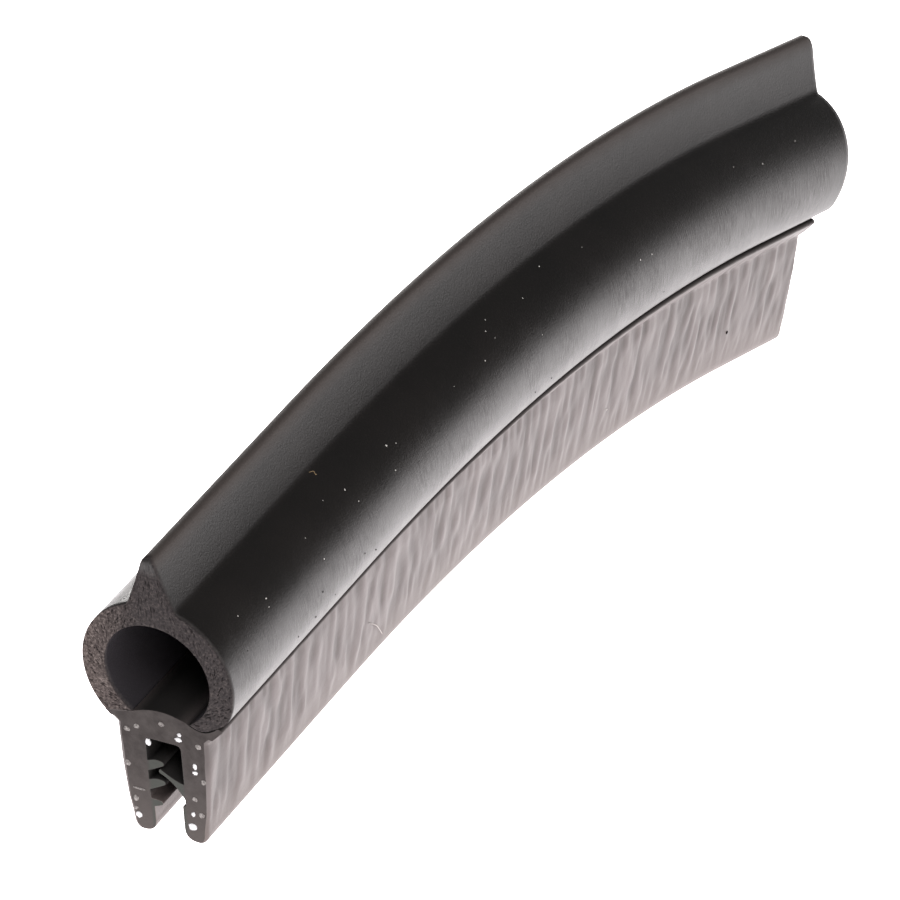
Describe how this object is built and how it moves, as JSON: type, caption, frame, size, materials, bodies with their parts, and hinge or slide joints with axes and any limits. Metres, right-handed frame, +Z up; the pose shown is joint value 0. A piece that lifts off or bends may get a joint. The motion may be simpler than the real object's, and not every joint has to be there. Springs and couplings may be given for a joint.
{
  "type": "edge trim seal",
  "caption": "Length of edge trim seal: a hollow sponge bulb with a nose fin on top of a wire-reinforced rubber grip channel.",
  "frame": {"origin": "on the floor under the middle of the length, at the bottom centre of its box", "axes": "+X to the right across the seal, +Y along the seal from its near cut end to its far one, +Z up"},
  "size_m": [0.0168, 0.1488, 0.0399],
  "materials": {
    "sponge_rubber": "satin moulded skin, open pores on the cut face",
    "dense_rubber": "satin, with the wire showing through as low ribs",
    "steel_wire": "bright where it is cut",
    "carrier_yarn": "dull twisted yarn"
  },
  "bodies": {
    "root": {"sponge_bulb": "sponge_rubber", "grip_channel": "dense_rubber", "carrier_wire": "steel_wire", "carrier_thread_1": "carrier_yarn", "carrier_thread_2": "carrier_yarn", "carrier_thread_3": "carrier_yarn", "carrier_thread_4": "carrier_yarn", "carrier_thread_5": "carrier_yarn", "carrier_thread_6": "carrier_yarn", "carrier_thread_7": "carrier_yarn"}
  },
  "joints": []
}
